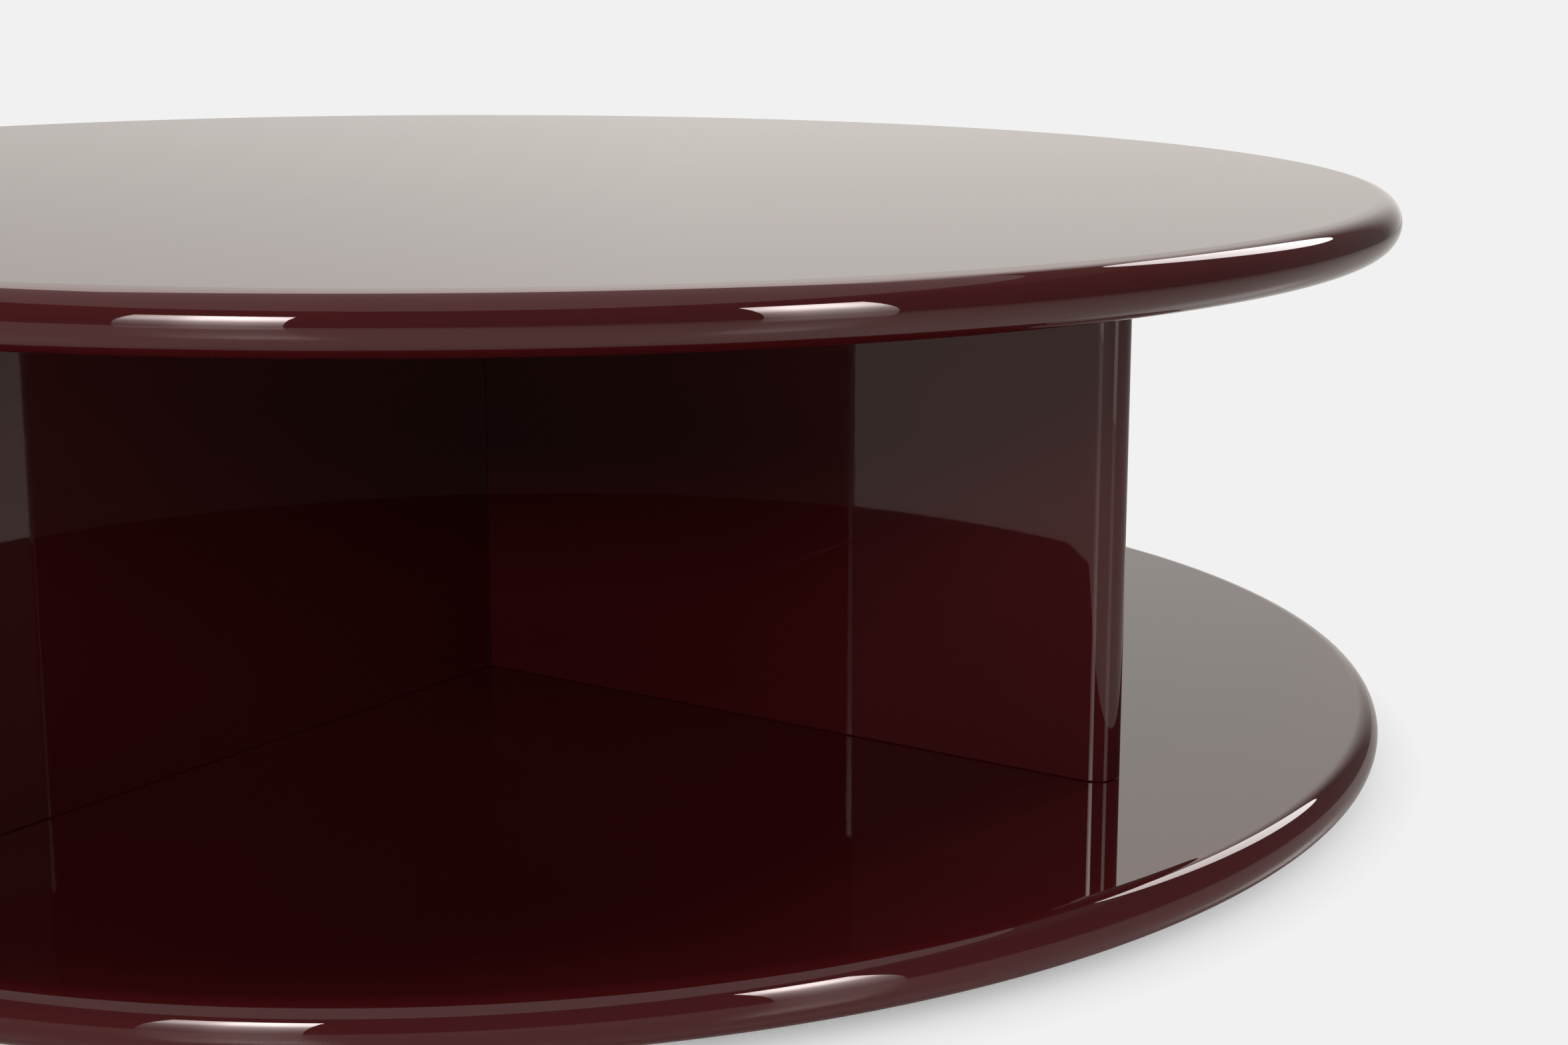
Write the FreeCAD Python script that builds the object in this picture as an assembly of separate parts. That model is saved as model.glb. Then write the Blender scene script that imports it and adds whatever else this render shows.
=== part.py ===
# Round cocktail table: two equal round boards with full-round rims, held apart by two upright panels
# that cross on the table's axis. Millimetres, +Z up, origin on the floor under the table's centre.

import FreeCAD, Part
import math
import os

# Round boards
TOP_DIAMETER = 1220.0
TOP_THICKNESS = 32.0
BASE_DIAMETER = 1220.0
BASE_THICKNESS = 32.0

# Crossed panels, one along X with its slot open upwards, one along Y with its slot open downwards
PANEL_SPAN = 978.0
PANEL_HEIGHT = 305.0
PANEL_THICKNESS = 28.6
PANEL_EDGE_RADIUS = 1.0
LAP_CLEARANCE = 0.3
ARM_ANGLES = (0.0, 90.0, 180.0, 270.0)

# Dowels between the panels and the boards
DOWEL_DIAMETER = 10.0
DOWEL_DEPTH = 18.0
DOWEL_CHAMFER = 1.0
DOWEL_CLEARANCE = 0.1
DOWEL_END_GAP = 0.8
DOWEL_FROM_TIP = 45.0

# Tie bolts from the underside of the base, through the panels, to the top
BOLT_DIAMETER = 8.0
BOLT_HEAD_DIAMETER = 13.0
BOLT_HEAD_HEIGHT = 8.0
BOLT_SOCKET_FLATS = 6.0
BOLT_SOCKET_DEPTH = 4.0
BOLT_ENGAGEMENT = 16.0
BOLT_HOLE_CLEARANCE = 0.5
BOLT_HEAD_RECESS = 2.0
BOLT_FROM_AXIS = 110.0
BOLT_FROM_TIP = 110.0
WASHER_DIAMETER = 24.0
WASHER_THICKNESS = 2.0
WASHER_CLEARANCE = 0.2
COUNTERBORE_CLEARANCE = 1.0

# Threaded inserts in the boards; threads are left plain
INSERT_WALL = 2.0
INSERT_LENGTH = 18.0
INSERT_CLEARANCE = 0.1
INSERT_HOLE_SPARE = 2.0
THREAD_CLEARANCE = 0.1

# Levelling feet midway between the arms, each a screw that turns in a plastic pad
LEVELLER_FROM_RIM = 70.0
LEVELLER_FROM_ARM = 45.0
STUD_DIAMETER = 8.0
STUD_REACH = 22.0
STUD_TIP_CHAMFER = 1.0
STUD_TIP_GAP = 2.0
COLLAR_FLATS = 17.0
COLLAR_HEIGHT = 2.8
NECK_DIAMETER = 7.0
BUTTON_DIAMETER = 14.0
BUTTON_THICKNESS = 2.0
SWIVEL_CLEARANCE = 0.2
PAD_DIAMETER = 34.0
PAD_FLOOR = 1.5
PAD_LIP = 1.3
PAD_EDGE = 0.8

# Levels, from the floor up
button_top = PAD_FLOOR + BUTTON_THICKNESS
pocket_top = button_top + SWIVEL_CLEARANCE
pad_top = pocket_top + PAD_LIP
collar_bottom = pad_top + SWIVEL_CLEARANCE
base_bottom = collar_bottom + COLLAR_HEIGHT
base_top = base_bottom + BASE_THICKNESS
top_bottom = base_top + PANEL_HEIGHT

# Places along one arm of the cross, measured from the table's axis
arm_reach = PANEL_SPAN / 2
inner_bolt = BOLT_FROM_AXIS
outer_bolt = arm_reach - BOLT_FROM_TIP
bolt_stations = (inner_bolt, outer_bolt)
dowel_stations = ((inner_bolt + outer_bolt) / 2, arm_reach - DOWEL_FROM_TIP)

# Holes that the fixings share
bolt_hole_radius = BOLT_DIAMETER / 2 + BOLT_HOLE_CLEARANCE
dowel_hole_radius = DOWEL_DIAMETER / 2 + DOWEL_CLEARANCE
dowel_hole_depth = DOWEL_DEPTH + DOWEL_END_GAP
washer_seat = base_bottom + BOLT_HEAD_RECESS + BOLT_HEAD_HEIGHT + WASHER_THICKNESS
bolt_insert_radius = BOLT_DIAMETER / 2 + THREAD_CLEARANCE + INSERT_WALL
stud_insert_radius = STUD_DIAMETER / 2 + THREAD_CLEARANCE + INSERT_WALL


def point(x, y, z):
    return FreeCAD.Vector(x, y, z)


UP = point(0, 0, 1)


def turned(outline):
    """Solid of revolution about Z from a closed outline of (radius, height) corners."""
    corners = [point(radius, 0, height) for radius, height in outline]
    profile = Part.Face(Part.makePolygon(corners + corners[:1]))
    return profile.revolve(point(0, 0, 0), UP, 360)


def hexagon(across_flats, bottom, height):
    """Upright hexagonal prism on the Z axis."""
    corner_radius = across_flats / math.sqrt(3)
    angles = [math.radians(60 * step) for step in range(6)]
    corners = [point(corner_radius * math.cos(a), corner_radius * math.sin(a), bottom) for a in angles]
    return Part.Face(Part.makePolygon(corners + corners[:1])).extrude(point(0, 0, height))


def on_arms(stations, turn=0.0):
    """Places on all four arms of the cross, or on lines turned from the arms by some degrees."""
    angles = [math.radians(angle + turn) for angle in ARM_ANGLES]
    return [point(r * math.cos(a), r * math.sin(a), 0) for a in angles for r in stations]


def copies(shape, places):
    """The same shape set at each place."""
    return [shape.translated(place) for place in places]


def holes(radius, bottom, top, places):
    """Round cutters from one height to another, at each place."""
    return copies(Part.makeCylinder(radius, top - bottom, point(0, 0, bottom)), places)


def round_board(diameter, thickness, bottom):
    """Disc whose rim is one half circle from the lower face to the upper one."""
    rim = thickness / 2
    flat = diameter / 2 - rim
    top = bottom + thickness
    nose = Part.Arc(point(flat, 0, bottom), point(flat + rim, 0, bottom + rim), point(flat, 0, top))
    edges = [
        Part.makeLine(point(0, 0, bottom), point(flat, 0, bottom)),
        nose.toShape(),
        Part.makeLine(point(flat, 0, top), point(0, 0, top)),
        Part.makeLine(point(0, 0, top), point(0, 0, bottom)),
    ]
    return Part.Face(Part.Wire(edges)).revolve(point(0, 0, 0), UP, 360)


def table_top():
    """Top board, with blind holes below for the dowels and the bolts' inserts."""
    board = round_board(TOP_DIAMETER, TOP_THICKNESS, top_bottom)
    insert_hole = bolt_insert_radius + INSERT_CLEARANCE
    insert_end = top_bottom + INSERT_LENGTH + INSERT_HOLE_SPARE
    cutters = holes(dowel_hole_radius, top_bottom, top_bottom + dowel_hole_depth, on_arms(dowel_stations))
    cutters += holes(insert_hole, top_bottom, insert_end, on_arms(bolt_stations))
    return board.cut(cutters)


def base_disc():
    """Base board, with dowel holes above, and below it counterbores and leveller holes."""
    board = round_board(BASE_DIAMETER, BASE_THICKNESS, base_bottom)
    counterbore = WASHER_DIAMETER / 2 + COUNTERBORE_CLEARANCE
    leveller_hole = stud_insert_radius + INSERT_CLEARANCE
    leveller_end = base_bottom + STUD_REACH + STUD_TIP_GAP
    cutters = holes(dowel_hole_radius, base_top - dowel_hole_depth, base_top, on_arms(dowel_stations))
    cutters += holes(bolt_hole_radius, base_bottom, base_top, on_arms(bolt_stations))
    cutters += holes(counterbore, base_bottom, washer_seat, on_arms(bolt_stations))
    cutters += holes(leveller_hole, base_bottom, leveller_end, leveller_places())
    return board.cut(cutters)


def upright_panel():
    """Panel along X with half-round ends, rounded a little along its upper and lower edges and bored."""
    half = PANEL_THICKNESS / 2
    straight = arm_reach - half
    right_end = Part.Arc(
        point(straight, -half, base_top), point(arm_reach, 0, base_top), point(straight, half, base_top)
    )
    left_end = Part.Arc(
        point(-straight, half, base_top), point(-arm_reach, 0, base_top), point(-straight, -half, base_top)
    )
    edges = [
        right_end.toShape(),
        Part.makeLine(point(straight, half, base_top), point(-straight, half, base_top)),
        left_end.toShape(),
        Part.makeLine(point(-straight, -half, base_top), point(straight, -half, base_top)),
    ]
    blank = Part.Face(Part.Wire(edges)).extrude(point(0, 0, PANEL_HEIGHT))
    level_edges = [edge for edge in blank.Edges if edge.BoundBox.ZLength < PANEL_EDGE_RADIUS]
    blank = blank.makeFillet(PANEL_EDGE_RADIUS, level_edges)
    along_x = [place for place in on_arms(dowel_stations) if abs(place.y) < half]
    bolts_along_x = [place for place in on_arms(bolt_stations) if abs(place.y) < half]
    cutters = holes(dowel_hole_radius, base_top, base_top + dowel_hole_depth, along_x)
    cutters += holes(dowel_hole_radius, top_bottom - dowel_hole_depth, top_bottom, along_x)
    cutters += holes(bolt_hole_radius, base_top, top_bottom, bolts_along_x)
    return blank.cut(cutters)


def lap_slot(bottom, top):
    """Cutter for the slot that lets one panel cross the other."""
    width = PANEL_THICKNESS + 2 * LAP_CLEARANCE
    return Part.makeBox(width, width, top - bottom, point(-width / 2, -width / 2, bottom))


def cross_panel_lower():
    """Panel along X; the upper half of its middle is slotted."""
    lap = base_top + (PANEL_HEIGHT - LAP_CLEARANCE) / 2
    return upright_panel().cut(lap_slot(lap, top_bottom))


def cross_panel_upper():
    """Panel along Y; the lower half of its middle is slotted."""
    lap = base_top + (PANEL_HEIGHT + LAP_CLEARANCE) / 2
    panel = upright_panel().cut(lap_slot(base_top, lap))
    return panel.rotated(point(0, 0, 0), UP, 90)


def dowels(joint_height):
    """Dowels half in a panel and half in a board, on both sides of the joint."""
    radius = DOWEL_DIAMETER / 2
    low = joint_height - DOWEL_DEPTH
    high = joint_height + DOWEL_DEPTH
    dowel = turned([
        (0, low),
        (radius - DOWEL_CHAMFER, low),
        (radius, low + DOWEL_CHAMFER),
        (radius, high - DOWEL_CHAMFER),
        (radius - DOWEL_CHAMFER, high),
        (0, high),
    ])
    return Part.makeCompound(copies(dowel, on_arms(dowel_stations)))


def tie_bolts():
    """Long bolts with a round head and a hexagon socket, heads down in the base's counterbores."""
    shank = BOLT_DIAMETER / 2
    head = BOLT_HEAD_DIAMETER / 2
    head_bottom = base_bottom + BOLT_HEAD_RECESS
    head_top = head_bottom + BOLT_HEAD_HEIGHT
    end = top_bottom + BOLT_ENGAGEMENT
    bolt = turned([
        (0, head_bottom),
        (head, head_bottom),
        (head, head_top),
        (shank, head_top),
        (shank, end),
        (0, end),
    ])
    bolt = bolt.cut(hexagon(BOLT_SOCKET_FLATS, head_bottom, BOLT_SOCKET_DEPTH))
    return Part.makeCompound(copies(bolt, on_arms(bolt_stations)))


def ring(inner, outer, bottom, top):
    """Plain ring about Z."""
    return turned([(inner, bottom), (outer, bottom), (outer, top), (inner, top)])


def tie_bolt_washers():
    """Washers between the bolt heads and the floors of the counterbores."""
    inner = BOLT_DIAMETER / 2 + WASHER_CLEARANCE
    washer = ring(inner, WASHER_DIAMETER / 2, washer_seat - WASHER_THICKNESS, washer_seat)
    return Part.makeCompound(copies(washer, on_arms(bolt_stations)))


def tie_bolt_inserts():
    """Threaded inserts in the top, flush with its lower face."""
    inner = BOLT_DIAMETER / 2 + THREAD_CLEARANCE
    insert = ring(inner, bolt_insert_radius, top_bottom, top_bottom + INSERT_LENGTH)
    return Part.makeCompound(copies(insert, on_arms(bolt_stations)))


def leveller_places():
    """Feet just inside the rim of the base, on lines between the arms."""
    return on_arms([BASE_DIAMETER / 2 - LEVELLER_FROM_RIM], LEVELLER_FROM_ARM)


def leveller_inserts():
    """Threaded inserts for the levelling screws, flush with the base's lower face."""
    inner = STUD_DIAMETER / 2 + THREAD_CLEARANCE
    insert = ring(inner, stud_insert_radius, base_bottom, base_bottom + INSERT_LENGTH)
    return Part.makeCompound(copies(insert, leveller_places()))


def leveller_stud():
    """Levelling screw: button in the pad, neck, hexagon collar under the base, stud up in the insert."""
    button = BUTTON_DIAMETER / 2
    neck = NECK_DIAMETER / 2
    stud = STUD_DIAMETER / 2
    tip = base_bottom + STUD_REACH
    screw = turned([
        (0, PAD_FLOOR),
        (button, PAD_FLOOR),
        (button, button_top),
        (neck, button_top),
        (neck, base_bottom),
        (stud, base_bottom),
        (stud, tip - STUD_TIP_CHAMFER),
        (stud - STUD_TIP_CHAMFER, tip),
        (0, tip),
    ])
    return screw.fuse(hexagon(COLLAR_FLATS, collar_bottom, COLLAR_HEIGHT)).removeSplitter()


def leveller_pad():
    """Round pad with a pocket that holds the screw's button under a lip."""
    pad = PAD_DIAMETER / 2
    pocket = BUTTON_DIAMETER / 2 + SWIVEL_CLEARANCE
    mouth = NECK_DIAMETER / 2 + SWIVEL_CLEARANCE
    return turned([
        (0, 0),
        (pad - PAD_EDGE, 0),
        (pad, PAD_EDGE),
        (pad, pad_top - PAD_EDGE),
        (pad - PAD_EDGE, pad_top),
        (mouth, pad_top),
        (mouth, pocket_top),
        (pocket, pocket_top),
        (pocket, PAD_FLOOR),
        (0, PAD_FLOOR),
    ])


pieces = {
    "table_top": table_top(),
    "base_disc": base_disc(),
    "cross_panel_lower": cross_panel_lower(),
    "cross_panel_upper": cross_panel_upper(),
    "base_dowels": dowels(base_top),
    "top_dowels": dowels(top_bottom),
    "tie_bolts": tie_bolts(),
    "tie_bolt_washers": tie_bolt_washers(),
    "tie_bolt_inserts": tie_bolt_inserts(),
    "leveller_inserts": leveller_inserts(),
}
for number, place in enumerate(leveller_places(), start=1):
    pieces[f"leveller_stud_{number}"] = leveller_stud().translated(place)
    pieces[f"leveller_pad_{number}"] = leveller_pad().translated(place)

os.makedirs("parts", exist_ok=True)
for name, shape in pieces.items():
    shape.exportStep(f"parts/{name}.step")
    print(name, len(shape.Solids), "solids", round(shape.Volume / 1000, 1), "cm3")
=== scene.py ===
import math

import bmesh
import bpy
from mathutils import Matrix, Vector


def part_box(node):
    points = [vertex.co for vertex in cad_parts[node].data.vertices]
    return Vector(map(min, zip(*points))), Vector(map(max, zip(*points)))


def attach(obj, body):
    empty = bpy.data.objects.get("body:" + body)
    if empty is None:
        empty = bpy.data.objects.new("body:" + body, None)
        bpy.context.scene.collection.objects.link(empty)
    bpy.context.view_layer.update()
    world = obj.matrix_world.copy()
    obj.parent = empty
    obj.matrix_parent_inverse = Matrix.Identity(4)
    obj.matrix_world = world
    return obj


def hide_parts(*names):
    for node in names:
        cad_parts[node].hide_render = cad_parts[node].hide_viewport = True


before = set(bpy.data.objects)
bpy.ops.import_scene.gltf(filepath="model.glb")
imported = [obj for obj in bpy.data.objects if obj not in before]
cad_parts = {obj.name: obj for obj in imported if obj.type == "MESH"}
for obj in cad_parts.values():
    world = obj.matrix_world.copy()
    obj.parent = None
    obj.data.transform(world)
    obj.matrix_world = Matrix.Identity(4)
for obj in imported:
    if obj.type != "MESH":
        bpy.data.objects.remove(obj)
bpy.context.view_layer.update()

scene = bpy.context.scene

# Base board: the round board that carries the table, its rim turned to one full half round.
# Wood-fibre board, bored for dowels, tie bolts and levelling feet, then sprayed with burgundy
# lacquer and polished to a mirror. Its underside is sealed with the same lacquer, left satin.
BOARD_RADIUS = 0.610
BOARD_STEPS = 512
RIM_STEPS = 32
TURNED_STEPS = 64
BORE_OVERRUN = 0.001
MERGE_REACH = 1e-6
CRISP_ANGLE = math.radians(35)
LARGE_FACE_WEIGHT = 100
UNDERSIDE_NORMAL = -0.999
ARM_ANGLES = (0, 90, 180, 270)
BOLT_STATIONS = (0.110, 0.379)
DOWEL_STATIONS = (0.2445, 0.444)
BOLT_BORE = 0.0045
DOWEL_BORE = 0.0051
DOWEL_BORE_DEPTH = 0.0188
COUNTERBORE = 0.013
COUNTERBORE_DEPTH = 0.012
FOOT_STATION = 0.540
FOOT_TURN = 45
FOOT_BORE = 0.0062
FOOT_BORE_DEPTH = 0.024
NOISE_LOW = 0.3
NOISE_HIGH = 0.7
PIGMENT_DEEP = (0.046, 0.0040, 0.0048, 1)
PIGMENT_LIGHT = (0.056, 0.0050, 0.0058, 1)
LACQUER_IOR = 1.5
LACQUER_GLOSS = 0.64
LACQUER_TINT = (1.0, 0.87, 0.85, 1)
CLOUD_WAVES = 2.4
HAZE_WAVES = 9
PEEL_WAVES = 170
MIRROR_HAZE = (0.012, 0.028)
MIRROR_PEEL = 0.000003
SATIN_HAZE = (0.30, 0.42)
SATIN_PEEL = 0.00004
FIBRE_DARK = (0.16, 0.09, 0.045, 1)
FIBRE_LIGHT = (0.30, 0.19, 0.10, 1)
FIBRE_GLOSS = 0.25
FIBRE_WAVES = 900
FIBRE_STRETCH = (1, 1, 3)
FIBRE_ROUGHNESS = (0.75, 0.95)
FIBRE_RELIEF = 0.0002


def on_arms(stations, turn=0):
    """Places on the four arms of the cross, or on lines turned from the arms by some degrees."""
    angles = [math.radians(angle + turn) for angle in ARM_ANGLES]
    return [Vector((r * math.cos(a), r * math.sin(a), 0)) for a in angles for r in stations]


def round_board(bottom, top):
    """Board with a half-round rim, turned about the table's axis."""
    rim = (top - bottom) / 2
    flat = BOARD_RADIUS - rim
    board = bmesh.new()
    edge = board.verts.new((flat, 0, top))
    bmesh.ops.spin(board, geom=[edge], cent=(flat, 0, bottom + rim), axis=(0, 1, 0),
                   angle=math.pi, steps=RIM_STEPS)
    bmesh.ops.spin(board, geom=board.verts[:] + board.edges[:], cent=(0, 0, 0), axis=(0, 0, 1),
                   angle=2 * math.pi, steps=BOARD_STEPS, use_merge=True)
    bmesh.ops.holes_fill(board, edges=board.edges[:], sides=0)
    return board


def turned(shape, outline, place=Vector((0, 0, 0))):
    """Adds a form turned about an upright axis, from an outline of (radius, height) corners."""
    points = [shape.verts.new((place.x + radius, place.y, height)) for radius, height in outline]
    edges = [shape.edges.new(pair) for pair in zip(points, points[1:])]
    bmesh.ops.spin(shape, geom=points + edges, cent=place, axis=(0, 0, 1), angle=2 * math.pi,
                   steps=TURNED_STEPS, use_merge=True)


def bore(cutter, places, *steps):
    """Adds one drill to the cutter at each place, in (radius, bottom, top) steps from the lowest up."""
    corners = [(radius, height) for radius, bottom, top in steps for height in (bottom, top)]
    outline = [(0, corners[0][1])] + corners + [(0, corners[-1][1])]
    for place in places:
        turned(cutter, outline, place)


def mesh_object(name, shape):
    """A bmesh as an object of the scene, its faces pointing outwards."""
    bmesh.ops.remove_doubles(shape, verts=shape.verts[:], dist=MERGE_REACH)
    bmesh.ops.recalc_face_normals(shape, faces=shape.faces[:])
    mesh = bpy.data.meshes.new(name)
    shape.to_mesh(mesh)
    shape.free()
    made = bpy.data.objects.new(name, mesh)
    scene.collection.objects.link(made)
    return made


def finished_piece(name, shape, finish, cutter=None, cut_finish=None):
    """A piece with its bores cut, smooth where it is round and crisp at its edges."""
    piece = mesh_object(name, shape)
    piece.data.materials.append(finish)
    if cutter:
        drill = mesh_object(name + "_drill", cutter)
        drill.data.materials.append(cut_finish)
        cut = piece.modifiers.new("bores", "BOOLEAN")
        cut.operation = "DIFFERENCE"
        cut.solver = "EXACT"
        cut.material_mode = "TRANSFER"
        cut.object = drill
        bored = piece.evaluated_get(bpy.context.evaluated_depsgraph_get())
        piece.data = bpy.data.meshes.new_from_object(bored)
        piece.modifiers.clear()
        bpy.data.objects.remove(drill)
    piece.data.shade_smooth()
    piece.data.set_sharp_from_angle(angle=CRISP_ANGLE)
    even = piece.modifiers.new("even_normals", "WEIGHTED_NORMAL")
    even.keep_sharp = True
    even.weight = LARGE_FACE_WEIGHT
    return piece


def new_finish(name):
    """An empty finish: its material, its node tree and its shader."""
    finish = bpy.data.materials.new(name)
    finish.use_nodes = True
    return finish, finish.node_tree, finish.node_tree.nodes["Principled BSDF"]


def add_node(tree, kind, inputs=(), **settings):
    """A node with the given settings and input values."""
    made = tree.nodes.new(kind)
    for name, value in settings.items():
        setattr(made, name, value)
    for name, value in dict(inputs).items():
        made.inputs[name].default_value = value
    return made


def noise(tree, waves, detail, stretch=(1, 1, 1)):
    """A noise pattern fixed to the piece, so many waves to the metre, stretched along its axes."""
    place = add_node(tree, "ShaderNodeTexCoord")
    mapping = add_node(tree, "ShaderNodeMapping", {"Scale": stretch})
    pattern = add_node(tree, "ShaderNodeTexNoise", {"Scale": waves, "Detail": detail})
    tree.links.new(place.outputs["Object"], mapping.inputs["Vector"])
    tree.links.new(mapping.outputs["Vector"], pattern.inputs["Vector"])
    return pattern.outputs["Fac"]


def colours(tree, pattern, dark, light, start=NOISE_LOW, end=NOISE_HIGH):
    """Two colours blended by a pattern."""
    ramp = add_node(tree, "ShaderNodeValToRGB")
    ramp.color_ramp.elements[0].position = start
    ramp.color_ramp.elements[0].color = dark
    ramp.color_ramp.elements[1].position = end
    ramp.color_ramp.elements[1].color = light
    tree.links.new(pattern, ramp.inputs["Fac"])
    return ramp.outputs["Color"]


def spread(tree, pattern, low, high, start=NOISE_LOW, end=NOISE_HIGH, easing="LINEAR"):
    """A pattern's middle, or another stretch of it, carried over to a range of values."""
    ranged = add_node(tree, "ShaderNodeMapRange",
                      {"From Min": start, "From Max": end, "To Min": low, "To Max": high},
                      interpolation_type=easing)
    tree.links.new(pattern, ranged.inputs["Value"])
    return ranged.outputs["Result"]


def relief(tree, pattern, height):
    """A surface raised by a pattern, to a height in metres."""
    bump = add_node(tree, "ShaderNodeBump", {"Strength": 1.0, "Distance": height})
    tree.links.new(pattern, bump.inputs["Height"])
    return bump.outputs["Normal"]


def lacquer(name, haze, peel):
    """Burgundy lacquer: faint clouds in the pigment, a trace of polishing haze, soft orange peel."""
    finish, tree, shader = new_finish(name)
    shader.inputs["IOR"].default_value = LACQUER_IOR
    shader.inputs["Specular IOR Level"].default_value = LACQUER_GLOSS
    shader.inputs["Specular Tint"].default_value = LACQUER_TINT
    clouds = noise(tree, CLOUD_WAVES, detail=4)
    hazing = noise(tree, HAZE_WAVES, detail=3)
    peeling = noise(tree, PEEL_WAVES, detail=1)
    tree.links.new(colours(tree, clouds, PIGMENT_DEEP, PIGMENT_LIGHT), shader.inputs["Base Color"])
    tree.links.new(spread(tree, hazing, *haze), shader.inputs["Roughness"])
    tree.links.new(relief(tree, peeling, peel), shader.inputs["Normal"])
    return finish


def fibre_board(name):
    """Raw wood-fibre board, as the drills left it."""
    finish, tree, shader = new_finish(name)
    shader.inputs["Specular IOR Level"].default_value = FIBRE_GLOSS
    fibres = noise(tree, FIBRE_WAVES, detail=4, stretch=FIBRE_STRETCH)
    tree.links.new(colours(tree, fibres, FIBRE_DARK, FIBRE_LIGHT), shader.inputs["Base Color"])
    tree.links.new(spread(tree, fibres, *FIBRE_ROUGHNESS), shader.inputs["Roughness"])
    tree.links.new(relief(tree, fibres, FIBRE_RELIEF), shader.inputs["Normal"])
    return finish


gloss_lacquer = lacquer("burgundy_gloss_lacquer", MIRROR_HAZE, MIRROR_PEEL)
satin_lacquer = lacquer("burgundy_satin_lacquer", SATIN_HAZE, SATIN_PEEL)
raw_board = fibre_board("raw_fibre_board")

base_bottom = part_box("base_disc")[0].z
base_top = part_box("base_disc")[1].z
head_seat = base_bottom + COUNTERBORE_DEPTH
base_drills = bmesh.new()
bore(base_drills, on_arms(DOWEL_STATIONS),
     (DOWEL_BORE, base_top - DOWEL_BORE_DEPTH, base_top + BORE_OVERRUN))
bore(base_drills, on_arms(BOLT_STATIONS),
     (COUNTERBORE, base_bottom - BORE_OVERRUN, head_seat),
     (BOLT_BORE, head_seat, base_top + BORE_OVERRUN))
bore(base_drills, on_arms([FOOT_STATION], FOOT_TURN),
     (FOOT_BORE, base_bottom - BORE_OVERRUN, base_bottom + FOOT_BORE_DEPTH))
base_board = finished_piece("base_board", round_board(base_bottom, base_top), gloss_lacquer,
                            base_drills, raw_board)
base_board.data.materials.append(satin_lacquer)
for face in base_board.data.polygons:
    if face.normal.z < UNDERSIDE_NORMAL and face.center.z < base_bottom + BORE_OVERRUN:
        face.material_index = len(base_board.data.materials) - 1
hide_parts("base_disc")
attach(base_board, "table")

# Threaded inserts for the levelling feet: short zinc-plated steel sleeves in the underside.
# Turned from bar, plated, and driven into the base's bores until they are flush.
ZINC_DULL = (0.50, 0.50, 0.49, 1)
ZINC_BRIGHT = (0.72, 0.72, 0.70, 1)
ZINC_ROUGHNESS = (0.22, 0.40)
SPANGLE_WAVES = 700
MARK_WAVES = 1500
MARK_STRETCH = (1, 1, 6)
MARK_RELIEF = 0.00002


def zinc_plate(name):
    """Bright zinc on steel: fine spangle, drawn marks and a slightly uneven gloss."""
    finish, tree, shader = new_finish(name)
    shader.inputs["Metallic"].default_value = 1.0
    spangle = noise(tree, SPANGLE_WAVES, detail=3)
    marks = noise(tree, MARK_WAVES, detail=2, stretch=MARK_STRETCH)
    tree.links.new(colours(tree, spangle, ZINC_DULL, ZINC_BRIGHT), shader.inputs["Base Color"])
    tree.links.new(spread(tree, spangle, *ZINC_ROUGHNESS), shader.inputs["Roughness"])
    tree.links.new(relief(tree, marks, MARK_RELIEF), shader.inputs["Normal"])
    return finish


def refinish(node_name, finish):
    """A CAD piece keeps its shape and takes a better finish."""
    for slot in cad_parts[node_name].material_slots:
        slot.link = "OBJECT"
        slot.material = finish


plated_steel = zinc_plate("zinc_plated_steel_finish")
refinish("leveller_inserts", plated_steel)

# Levelling screws: a button held in the pad, a hexagon collar for the spanner and a threaded stud.
# Turned and rolled from steel bar and zinc plated; each screws up into its insert in the base.
FEET = (1, 2, 3, 4)
STUD_RADIUS = 0.004
THREAD_PITCH = 0.00125
THREAD_DEPTH = 0.00077
THREAD_STEPS = 32
THREAD_TURNS = 17
COLLAR_SIDES = 6
COLLAR_FLATS = 0.017
COLLAR_BOTTOM = 0.0052
COLLAR_EDGE = 0.0003
COLLAR_EDGE_STEPS = 2
NECK_RADIUS = 0.0035
BUTTON_RADIUS = 0.007
BUTTON_BOTTOM = 0.0015
BUTTON_TOP = 0.0035


def thread(screw, bottom):
    """Rolled thread on the Z axis: one tooth outline, wound upwards turn by turn."""
    crest = THREAD_PITCH / 8
    root = THREAD_PITCH / 4
    flank = (THREAD_PITCH - crest - root) / 2
    tooth = [(STUD_RADIUS - THREAD_DEPTH, 0), (STUD_RADIUS - THREAD_DEPTH, root),
             (STUD_RADIUS, root + flank), (STUD_RADIUS, root + flank + crest),
             (STUD_RADIUS - THREAD_DEPTH, THREAD_PITCH)]
    points = [screw.verts.new((radius, 0, bottom + height)) for radius, height in tooth]
    edges = [screw.edges.new(pair) for pair in zip(points, points[1:])]
    bmesh.ops.spin(screw, geom=points + edges, cent=(0, 0, 0), axis=(0, 0, 1),
                   dvec=(0, 0, THREAD_PITCH / THREAD_STEPS), angle=2 * math.pi * THREAD_TURNS,
                   steps=THREAD_STEPS * THREAD_TURNS)
    bmesh.ops.remove_doubles(screw, verts=screw.verts[:], dist=MERGE_REACH)
    bmesh.ops.holes_fill(screw, edges=screw.edges[:], sides=0)


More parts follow.
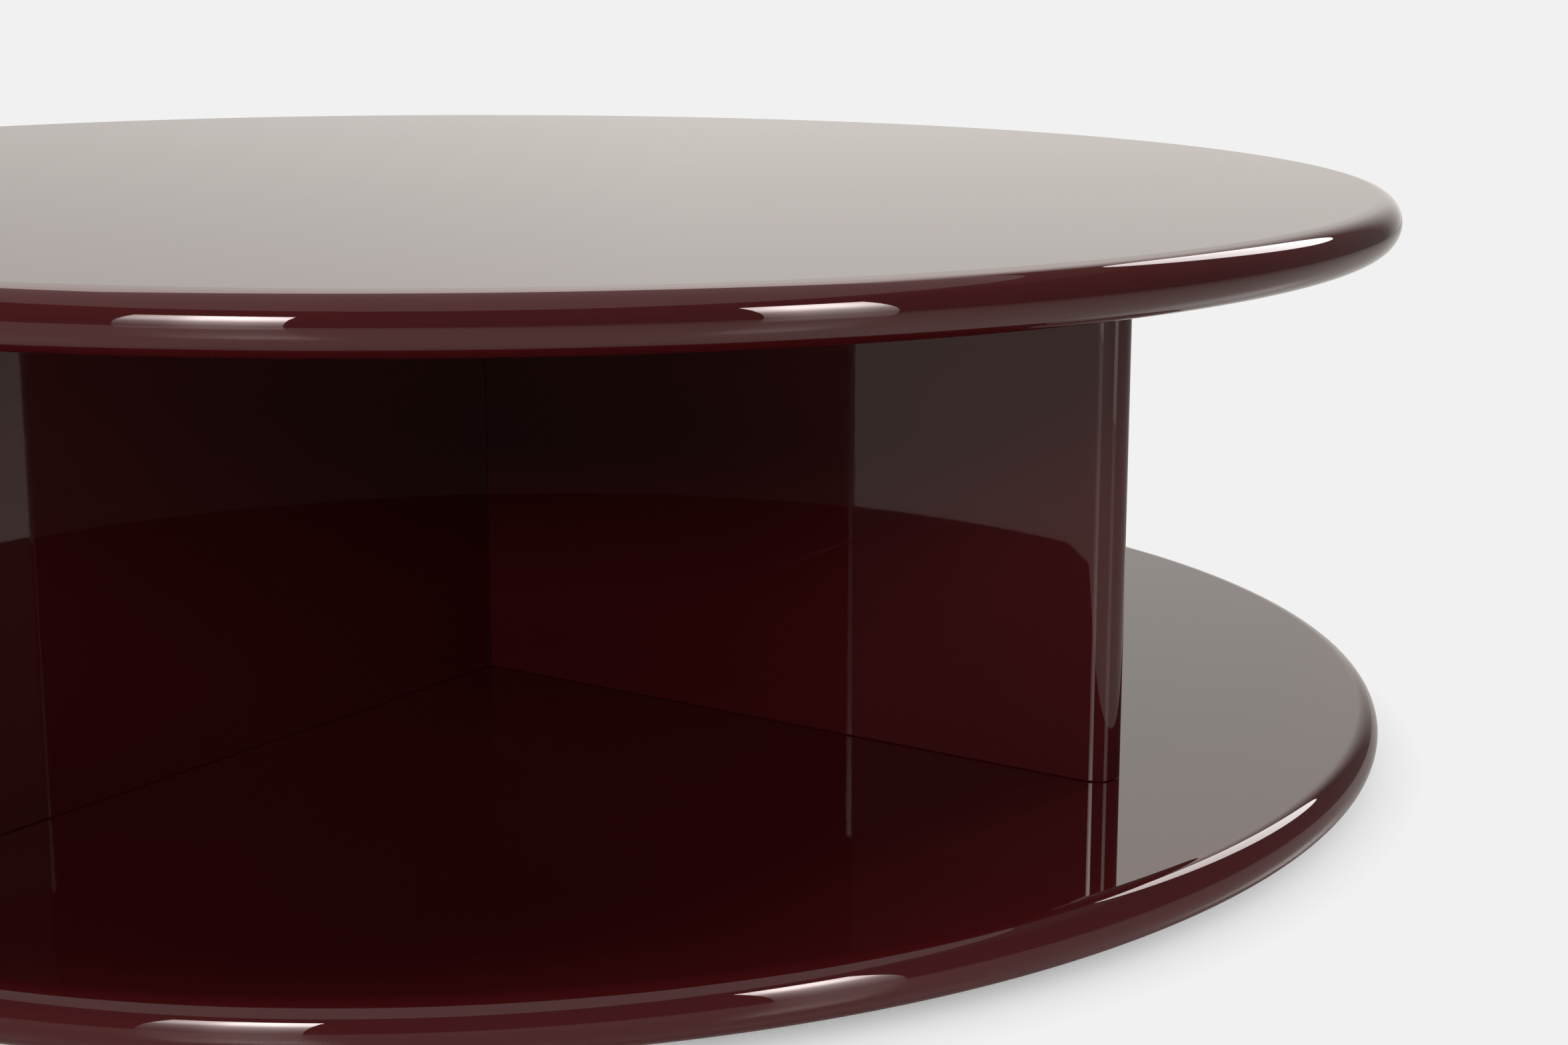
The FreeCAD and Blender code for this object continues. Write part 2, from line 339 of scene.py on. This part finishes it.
def hexagon_collar(screw, bottom, top):
    """Hexagon collar with eased edges."""
    blank = bmesh.ops.create_circle(screw, cap_ends=True, segments=COLLAR_SIDES,
                                    radius=COLLAR_FLATS / math.sqrt(3),
                                    matrix=Matrix.Translation((0, 0, bottom)))
    face = blank["verts"][0].link_faces[0]
    raised = bmesh.ops.extrude_face_region(screw, geom=[face])
    upper = [item for item in raised["geom"] if isinstance(item, bmesh.types.BMVert)]
    bmesh.ops.translate(screw, verts=upper, vec=(0, 0, top - bottom))
    edges = dict.fromkeys(edge for vert in blank["verts"] + upper for edge in vert.link_edges)
    bmesh.ops.bevel(screw, geom=list(edges), offset=COLLAR_EDGE, affect="EDGES",
                    segments=COLLAR_EDGE_STEPS, profile=0.5, material=-1)


def levelling_screw(place):
    """Whole screw, set at its foot's place."""
    screw = bmesh.new()
    thread(screw, base_bottom - THREAD_PITCH)
    turned(screw, [(0, BUTTON_BOTTOM), (BUTTON_RADIUS, BUTTON_BOTTOM), (BUTTON_RADIUS, BUTTON_TOP),
                   (NECK_RADIUS, BUTTON_TOP), (NECK_RADIUS, base_bottom), (0, base_bottom)])
    hexagon_collar(screw, COLLAR_BOTTOM, base_bottom)
    bmesh.ops.translate(screw, verts=screw.verts[:], vec=place)
    return screw


for number, place in zip(FEET, on_arms([FOOT_STATION], FOOT_TURN)):
    screw = finished_piece(f"levelling_screw_{number}", levelling_screw(place), plated_steel)
    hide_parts(f"leveller_stud_{number}")
    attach(screw, f"leveller_stud_{number}")

# Levelling pads: round black plastic shoes that stand on the floor while the screws turn in them.
# Injection-moulded nylon with a fine spark-eroded grain, snapped over the screws' buttons.
NYLON_DARK = (0.014, 0.014, 0.015, 1)
NYLON_LIGHT = (0.026, 0.026, 0.027, 1)
NYLON_GLOSS = 0.45
NYLON_ROUGHNESS = (0.42, 0.58)
FLOW_WAVES = 160
GRAIN_WAVES = 2600
GRAIN_RELIEF = 0.00003


def moulded_nylon(name):
    """Black nylon with a fine moulded grain and slight flow clouds."""
    finish, tree, shader = new_finish(name)
    shader.inputs["Specular IOR Level"].default_value = NYLON_GLOSS
    flow = noise(tree, FLOW_WAVES, detail=3)
    grain = noise(tree, GRAIN_WAVES, detail=2)
    tree.links.new(colours(tree, flow, NYLON_DARK, NYLON_LIGHT), shader.inputs["Base Color"])
    tree.links.new(spread(tree, grain, *NYLON_ROUGHNESS), shader.inputs["Roughness"])
    tree.links.new(relief(tree, grain, GRAIN_RELIEF), shader.inputs["Normal"])
    return finish


black_nylon = moulded_nylon("black_nylon_finish")
for number in FEET:
    refinish(f"leveller_pad_{number}", black_nylon)

# Lower dowels: beech pegs that place the panels on the base, half in each.
# Turned from straight-grained rod, the grain along the peg, chamfered at both ends and glued in.
BEECH_DARK = (0.44, 0.27, 0.14, 1)
BEECH_LIGHT = (0.66, 0.46, 0.28, 1)
BEECH_GLOSS = 0.3
BEECH_ROUGHNESS = (0.70, 0.52)
BEECH_WAVES = 420
BEECH_STRETCH = (1, 1, 0.06)
BEECH_RELIEF = 0.00008


def beech(name):
    """Beech with its straight grain along the peg, duller and lower where the grain is dark."""
    finish, tree, shader = new_finish(name)
    shader.inputs["Specular IOR Level"].default_value = BEECH_GLOSS
    grain = noise(tree, BEECH_WAVES, detail=4, stretch=BEECH_STRETCH)
    tree.links.new(colours(tree, grain, BEECH_DARK, BEECH_LIGHT), shader.inputs["Base Color"])
    tree.links.new(spread(tree, grain, *BEECH_ROUGHNESS), shader.inputs["Roughness"])
    tree.links.new(relief(tree, grain, BEECH_RELIEF), shader.inputs["Normal"])
    return finish


beech_wood = beech("beech_finish")
refinish("base_dowels", beech_wood)

# Lower panel: the upright along X, its slot open upwards for the other panel. Each end is a
# half-round nose, and polishing has drawn the faces in a little just before it. Wood-fibre board
# shaped and slotted, edges eased, bored for bolts and dowels, then lacquered and polished.
PANEL_REACH = 0.489
SHOULDER_RADIUS = 0.250
SHOULDER_TURN = math.radians(3)
SHOULDER_STEPS = 12
NOSE_TURN = math.pi - 2 * SHOULDER_TURN
NOSE_STEPS = 64
END_STRETCH = 1.17
EDGE_EASE = 0.001
EDGE_STEPS = 4
LAP_CLEARANCE = 0.0003

panel_low, panel_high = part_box("cross_panel_lower")
panel_half = panel_high.y
panel_middle = (panel_low.z + panel_high.z) / 2


def upright_panel():
    """Panel lying along X, with round ends and eased upper and lower edges."""
    nose = (panel_half - SHOULDER_RADIUS) / math.cos(SHOULDER_TURN) + SHOULDER_RADIUS
    centre = PANEL_REACH - nose
    straight = centre + (nose - SHOULDER_RADIUS) * math.sin(SHOULDER_TURN)
    inner = SHOULDER_RADIUS - panel_half
    arcs = (((straight, inner), SHOULDER_TURN, SHOULDER_STEPS),
            ((centre, 0), NOSE_TURN, NOSE_STEPS),
            ((straight, -inner), SHOULDER_TURN, SHOULDER_STEPS))
    panel = bmesh.new()
    start = panel.verts.new((straight, -panel_half, panel_low.z))
    for (x, y), angle, steps in arcs:
        swept = bmesh.ops.spin(panel, geom=[start], cent=(x, y, panel_low.z), axis=(0, 0, 1),
                               angle=angle, steps=steps)
        start = swept["geom_last"][0]
    bmesh.ops.scale(panel, verts=panel.verts[:], vec=(END_STRETCH, 1, 1),
                    space=Matrix.Translation((-PANEL_REACH, 0, 0)))
    bmesh.ops.mirror(panel, geom=panel.verts[:] + panel.edges[:], matrix=Matrix.Identity(4),
                     merge_dist=MERGE_REACH, axis="X")
    bmesh.ops.contextual_create(panel, geom=panel.edges[:])
    raised = bmesh.ops.extrude_face_region(panel, geom=panel.faces[:])
    upper = [item for item in raised["geom"] if isinstance(item, bmesh.types.BMVert)]
    bmesh.ops.translate(panel, verts=upper, vec=(0, 0, panel_high.z - panel_low.z))
    bmesh.ops.recalc_face_normals(panel, faces=panel.faces[:])
    level = [edge for edge in panel.edges if edge.verts[0].co.z == edge.verts[1].co.z]
    bmesh.ops.bevel(panel, geom=level, offset=EDGE_EASE, affect="EDGES", segments=EDGE_STEPS,
                    profile=0.5, material=-1)
    return panel


def panel_drills(slot_bottom, slot_top):
    """Cutter for one panel: the bolts' and dowels' bores and the slot for the other panel."""
    drills = bmesh.new()
    bolts = [place for place in on_arms(BOLT_STATIONS) if abs(place.y) < panel_half]
    dowels = [place for place in on_arms(DOWEL_STATIONS) if abs(place.y) < panel_half]
    bore(drills, bolts, (BOLT_BORE, panel_low.z - BORE_OVERRUN, panel_high.z + BORE_OVERRUN))
    bore(drills, dowels, (DOWEL_BORE, panel_low.z - BORE_OVERRUN, panel_low.z + DOWEL_BORE_DEPTH))
    bore(drills, dowels, (DOWEL_BORE, panel_high.z - DOWEL_BORE_DEPTH, panel_high.z + BORE_OVERRUN))
    width = 2 * (panel_half + LAP_CLEARANCE)
    size = Matrix.Diagonal((width, width, slot_top - slot_bottom, 1))
    middle = Matrix.Translation((0, 0, (slot_bottom + slot_top) / 2))
    bmesh.ops.create_cube(drills, size=1, matrix=middle @ size)
    return drills


lower_drills = panel_drills(panel_middle - LAP_CLEARANCE / 2, panel_high.z + BORE_OVERRUN)
lower_panel = finished_piece("lower_panel", upright_panel(), gloss_lacquer, lower_drills, raw_board)
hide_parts("cross_panel_lower")
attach(lower_panel, "table")

# Upper panel: the same lacquered panel turned along Y; its slot opens downwards and drops over the
# lower panel. The two lock in a cross, with a fine open line at the inner corners.
quarter_turn = Matrix.Rotation(math.radians(90), 3, "Z")
upper_blank = upright_panel()
upper_drills = panel_drills(panel_low.z - BORE_OVERRUN, panel_middle + LAP_CLEARANCE / 2)
for shape in (upper_blank, upper_drills):
    bmesh.ops.rotate(shape, verts=shape.verts[:], cent=(0, 0, 0), matrix=quarter_turn)
upper_panel = finished_piece("upper_panel", upper_blank, gloss_lacquer, upper_drills, raw_board)
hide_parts("cross_panel_upper")
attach(upper_panel, "table")

# Upper dowels: the same beech pegs, glued between the panels and the top.
# They place the top so that its rim stands over the base's.
refinish("top_dowels", beech_wood)

# Top board: the same round board as the base, with blind bores below only.
# Wood-fibre board with a full half-round rim, lacquered and polished all over.
INSERT_BORE = 0.0062
INSERT_BORE_DEPTH = 0.020

top_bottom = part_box("table_top")[0].z
top_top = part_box("table_top")[1].z
top_drills = bmesh.new()
bore(top_drills, on_arms(DOWEL_STATIONS),
     (DOWEL_BORE, top_bottom - BORE_OVERRUN, top_bottom + DOWEL_BORE_DEPTH))
bore(top_drills, on_arms(BOLT_STATIONS),
     (INSERT_BORE, top_bottom - BORE_OVERRUN, top_bottom + INSERT_BORE_DEPTH))
top_board = finished_piece("top_board", round_board(top_bottom, top_top), gloss_lacquer,
                           top_drills, raw_board)
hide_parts("table_top")
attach(top_board, "table")

# Tie bolts, washers and inserts: zinc-plated steel that clamps the top and the base on the panels.
# The heads sit on washers in the base's counterbores, and the threads end in inserts in the top.
refinish("tie_bolts", plated_steel)
refinish("tie_bolt_washers", plated_steel)
refinish("tie_bolt_inserts", plated_steel)

# Floor: a plain pale sheet under the table. The eye sees glowing white paper with a painted soft
# shadow round the base, gloss sees a sheet with some sheen, and matt colour is lit by painted rings
# of glow on it. From below the sheet is clear, so that the underside can be looked at.
WHITE = (1, 1, 1, 1)
PAPER_LEVEL = 0.8796
SHADOW_REACH = 0.038
SHADOW_GAMMA = 0.27
SHEEN_TONE = (0.65, 0.63, 0.60, 1)
SHEEN_ROUGHNESS = 0.2
GLOW = 3.4
GLOW_REACH = 2.0
# Painted glow by reach; the dim ring just outside the base's edge is painted shade of the base.
GLOW_STOPS = ((0.0, 0.6), (0.27, 0.6), (0.31, 0.2), (0.33, 0.5), (0.345, 0.5), (0.365, 0.1),
              (0.46, 0.1), (0.55, 0.5), (0.68, 0.5), (0.75, 0.02))
FLOOR_RADIUS = 8.0
FLOOR_STEPS = 96
FLOOR_LEVEL = -0.0003


def graded(tree, pattern, stops):
    """Grey levels at (position, level) stops along a pattern."""
    ramp = add_node(tree, "ShaderNodeValToRGB")
    steps = ramp.color_ramp.elements
    steps.remove(steps[1])
    for position, level in stops:
        steps.new(position).color = (level, level, level, 1)
    steps.remove(steps[0])
    tree.links.new(pattern, ramp.inputs["Fac"])
    return ramp.outputs["Color"]


def either(tree, choice, first, second):
    """The first shader where the choice is 0, the second where it is 1."""
    mix = add_node(tree, "ShaderNodeMixShader")
    tree.links.new(choice, mix.inputs["Fac"])
    tree.links.new(first, mix.inputs[1])
    tree.links.new(second, mix.inputs[2])
    return mix.outputs["Shader"]


def shaded_paper(tree):
    """White glowing paper, with painted shade where the table stands close over it."""
    shade = add_node(tree, "ShaderNodeAmbientOcclusion", {"Color": WHITE, "Distance": SHADOW_REACH})
    soften = add_node(tree, "ShaderNodeGamma", {"Gamma": SHADOW_GAMMA})
    paper = add_node(tree, "ShaderNodeEmission", {"Strength": PAPER_LEVEL})
    tree.links.new(shade.outputs["Color"], soften.inputs["Color"])
    tree.links.new(soften.outputs["Color"], paper.inputs["Color"])
    return paper.outputs["Emission"]


def ringed_glow(tree):
    """Painted glow in rings about the table's axis, dimmed just outside the base's edge as painted shade.
    """
    place = add_node(tree, "ShaderNodeTexCoord")
    reach = add_node(tree, "ShaderNodeVectorMath", operation="LENGTH")
    share = add_node(tree, "ShaderNodeMath", {1: GLOW_REACH}, operation="DIVIDE")
    glow = add_node(tree, "ShaderNodeEmission", {"Strength": GLOW})
    tree.links.new(place.outputs["Object"], reach.inputs[0])
    tree.links.new(reach.outputs["Value"], share.inputs[0])
    tree.links.new(graded(tree, share.outputs["Value"], GLOW_STOPS), glow.inputs["Color"])
    return glow.outputs["Emission"]


def pale_floor(name):
    """Paper to the eye, sheen in gloss and glow on matt colour; clear from below."""
    finish, tree, sheen = new_finish(name)
    finish.cycles.emission_sampling = "NONE"
    sheen.inputs["Base Color"].default_value = SHEEN_TONE
    sheen.inputs["Roughness"].default_value = SHEEN_ROUGHNESS
    path = add_node(tree, "ShaderNodeLightPath")
    side = add_node(tree, "ShaderNodeNewGeometry")
    clear = add_node(tree, "ShaderNodeBsdfTransparent")
    lit = either(tree, path.outputs["Is Diffuse Ray"], sheen.outputs["BSDF"], ringed_glow(tree))
    seen = either(tree, path.outputs["Is Camera Ray"], lit, shaded_paper(tree))
    sheet = either(tree, side.outputs["Backfacing"], seen, clear.outputs["BSDF"])
    tree.links.new(sheet, tree.nodes["Material Output"].inputs["Surface"])
    return finish


floor_shape = bmesh.new()
bmesh.ops.create_circle(floor_shape, cap_ends=True, segments=FLOOR_STEPS, radius=FLOOR_RADIUS,
                        matrix=Matrix.Translation((0, 0, FLOOR_LEVEL)))
floor = mesh_object("studio_floor", floor_shape)
floor.data.flip_normals()
floor.data.materials.append(pale_floor("studio_floor_paper"))

# Screens: a dim wall round the front and sides, and pale paper behind, which only gloss shows.
# The paper is a little warmer low down and brighter above; it falls off to the left and starts
# dim at its right edge.
SCREEN_RADIUS = 5.0
SCREEN_STEPS = 96
WALL_HEIGHT = 5.2
WALL_START = -190
WALL_END = 82
WALL_TONE = (0.13, 0.13, 0.13, 1)
PAPER_HEIGHT = 9.0
PAPER_LOW = (0.865, 0.833, 0.79, 1)
PAPER_HIGH = (0.865, 0.855, 0.815, 1)
TONE_START = 0.75
TONE_END = 1.1
RISE_START = 0.8
RISE_END = 6.0
RISE_LEVEL = 3.26
LEFT_START = -2.9
LEFT_END = -4.1
LEFT_LEVEL = 0.85
RIGHT_START = 0.58
RIGHT_END = -0.77
RIGHT_LEVEL = 0.2


def new_glow(name):
    """A finish that only glows: its material, its node tree and its glow."""
    finish, tree, shader = new_finish(name)
    tree.nodes.remove(shader)
    glow = add_node(tree, "ShaderNodeEmission")
    tree.links.new(glow.outputs["Emission"], tree.nodes["Material Output"].inputs["Surface"])
    return finish, tree, glow


def wall_glow(name):
    """A dim even wall."""
    finish, _, glow = new_glow(name)
    glow.inputs["Color"].default_value = WALL_TONE
    return finish


def product(tree, first, second):
    """Two values multiplied."""
    times = add_node(tree, "ShaderNodeMath", operation="MULTIPLY")
    tree.links.new(first, times.inputs[0])
    tree.links.new(second, times.inputs[1])
    return times.outputs["Value"]


def paper_glow(name):
    """Pale paper, its tone set by the height and its level by the height and the place across."""
    finish, tree, glow = new_glow(name)
    place = add_node(tree, "ShaderNodeTexCoord")
    axes = add_node(tree, "ShaderNodeSeparateXYZ")
    tree.links.new(place.outputs["Object"], axes.inputs["Vector"])
    across = axes.outputs["X"]
    height = axes.outputs["Z"]
    tone = spread(tree, height, 0, 1, TONE_START, TONE_END)
    rise = spread(tree, height, 1, RISE_LEVEL, RISE_START, RISE_END, "SMOOTHSTEP")
    left = spread(tree, across, 1, LEFT_LEVEL, LEFT_START, LEFT_END)
    right = spread(tree, across, RIGHT_LEVEL, 1, RIGHT_START, RIGHT_END)
    level = product(tree, product(tree, rise, left), right)
    tree.links.new(colours(tree, tone, PAPER_LOW, PAPER_HIGH, 0, 1), glow.inputs["Color"])
    tree.links.new(level, glow.inputs["Strength"])
    return finish


def screen(name, start, end, height, finish):
    """Upright curved screen between two plan angles."""
    first = Matrix.Rotation(math.radians(start), 3, "Z") @ Vector((SCREEN_RADIUS, 0, 0))
    shape = bmesh.new()
    points = [shape.verts.new(first), shape.verts.new(first + Vector((0, 0, height)))]
    edge = shape.edges.new(points)
    bmesh.ops.spin(shape, geom=points + [edge], cent=(0, 0, 0), axis=(0, 0, 1),
                   angle=math.radians(end - start), steps=SCREEN_STEPS)
    made = mesh_object(name, shape)
    made.data.materials.append(finish)
    made.visible_camera = False
    made.visible_diffuse = False
    made.visible_shadow = False
    made.visible_transmission = False


screen("studio_wall", WALL_START, WALL_END, WALL_HEIGHT, wall_glow("studio_wall_glow"))
screen("studio_paper", WALL_END, WALL_START + 360, PAPER_HEIGHT, paper_glow("studio_paper_glow"))

# Surroundings: white paper to the eye, a dim room in gloss and a low even fill for the rest.
# They close the space round the screens, so that no view looks out into the dark.
ROOM = (0.20, 0.19, 0.18, 1)
FILL = 0.04

world = bpy.data.worlds.new("studio")
world.use_nodes = True
scene.world = world
sky = world.node_tree
fill = sky.nodes["Background"]
fill.inputs["Color"].default_value = WHITE
fill.inputs["Strength"].default_value = FILL
room = add_node(sky, "ShaderNodeBackground", {"Color": ROOM})
paper = add_node(sky, "ShaderNodeBackground", {"Color": WHITE, "Strength": PAPER_LEVEL})
path = add_node(sky, "ShaderNodeLightPath")
direct = add_node(sky, "ShaderNodeMath", operation="MAXIMUM")
sky.links.new(path.outputs["Is Camera Ray"], direct.inputs[0])
sky.links.new(path.outputs["Is Transmission Ray"], direct.inputs[1])
bounced = either(sky, path.outputs["Is Glossy Ray"], fill.outputs["Background"],
                 room.outputs["Background"])
around = either(sky, direct.outputs["Value"], bounced, paper.outputs["Background"])
sky.links.new(around, sky.nodes["World Output"].inputs["Surface"])

# Lamps: two upright strip boxes beside the camera, hottest near their heads, and a wide dim panel
# overhead show only in gloss. A tall oval box behind shows in gloss and lights the matt colour too.
# Soft fills from above, the front and the sides light only the matt colour.
LAMP_AIM = (0, 0, 0.6)
EVEN = ((0.0, 1.0), (1.0, 1.0))
STRIP_UPWARD = ((0.0, 0.04), (0.25, 0.09), (0.42, 0.17), (0.55, 0.30), (0.70, 0.78), (0.80, 1.0),
                (1.0, 0.85))
LEFT_ACROSS = ((0.0, 0.3), (0.3, 0.5), (0.5, 0.95), (0.75, 1.0), (1.0, 0.8))
RIGHT_ACROSS = ((0.0, 0.55), (0.3, 0.95), (0.7, 0.9), (1.0, 0.6))
FILL_SIZE = (1.4, 0.6)


def soft_box(name, shape, place, size, watts, aim=LAMP_AIM, across=EVEN, upward=EVEN, gloss=True,
             matt=True):
    """Soft box facing a point, its glow graded across and upwards by (position, level) stops."""
    data = bpy.data.lights.new(name, "AREA")
    data.shape = shape
    data.size, data.size_y = size
    data.energy = watts
    data.use_nodes = True
    tree = data.node_tree
    spot = add_node(tree, "ShaderNodeNewGeometry")
    axes = add_node(tree, "ShaderNodeSeparateXYZ")
    tree.links.new(spot.outputs["Parametric"], axes.inputs["Vector"])
    level = product(tree, graded(tree, axes.outputs["X"], across),
                    graded(tree, axes.outputs["Y"], upward))
    tree.links.new(level, tree.nodes["Emission"].inputs["Strength"])
    lamp = bpy.data.objects.new(name, data)
    lamp.location = place
    lamp.rotation_euler = (Vector(aim) - Vector(place)).to_track_quat("-Z", "Y").to_euler()
    lamp.visible_camera = False
    lamp.visible_glossy = gloss
    lamp.visible_diffuse = matt
    scene.collection.objects.link(lamp)


soft_box("front_left_box", "RECTANGLE", place=(0.605, -2.10, 0.6), size=(0.58, 1.2), watts=50,
         across=LEFT_ACROSS, upward=STRIP_UPWARD, matt=False)
soft_box("front_right_box", "RECTANGLE", place=(1.78, -0.592, 0.6), size=(0.425, 1.2), watts=34,
         across=RIGHT_ACROSS, upward=STRIP_UPWARD, matt=False)
soft_box("back_right_box", "ELLIPSE", place=(1.143, 3.949, 2.986), size=(1.5, 2.3), watts=52)
soft_box("overhead_panel", "ELLIPSE", place=(0.1, -0.7, 4.2), size=(7.0, 7.0), watts=58,
         aim=(0.1, -0.7, 0), matt=False)
soft_box("overhead_fill", "ELLIPSE", place=(0, 0, 4.2), size=(2.9, 2.9), watts=119, gloss=False)
soft_box("front_left_fill", "RECTANGLE", place=(0.695, -3.939, 1.536), size=FILL_SIZE, watts=50,
         gloss=False)
soft_box("front_fill", "RECTANGLE", place=(2.03, -2.89, 2.18), size=FILL_SIZE, watts=19, gloss=False)
soft_box("left_low_fill", "RECTANGLE", place=(-2.3, -3.27, 0.509), size=(2.0, 0.6), watts=30, gloss=False)
soft_box("right_fill", "RECTANGLE", place=(3.79, -0.33, 1.536), size=FILL_SIZE, watts=13, gloss=False)
soft_box("right_high_fill", "RECTANGLE", place=(2.156, 0.785, 3.577), size=FILL_SIZE, watts=24,
         gloss=False)

# Camera: where the photograph was taken from, a long lens a little above the top.
# Its shift sets the frame low and to the left, as the photograph is cropped.
CAMERA_PLACE = (1.15932, -1.34633, 0.53101)
CAMERA_TURN = math.radians(31.387)
CAMERA_TILT = math.radians(78.432)
CAMERA_ROLL = math.radians(0.584)
CAMERA_LENS = 59.881
CAMERA_SENSOR = 36.0
CAMERA_SHIFT = (-0.07756, -0.02929)

view = bpy.data.cameras.new("photo_camera")
view.lens = CAMERA_LENS
view.sensor_width = CAMERA_SENSOR
view.shift_x, view.shift_y = CAMERA_SHIFT
camera = bpy.data.objects.new("photo_camera", view)
camera.matrix_world = (
    Matrix.Translation(CAMERA_PLACE)
    @ Matrix.Rotation(CAMERA_TURN, 4, "Z")
    @ Matrix.Rotation(CAMERA_TILT, 4, "X")
    @ Matrix.Rotation(CAMERA_ROLL, 4, "Z")
)
scene.collection.objects.link(camera)
scene.camera = camera
scene.view_settings.view_transform = "Standard"
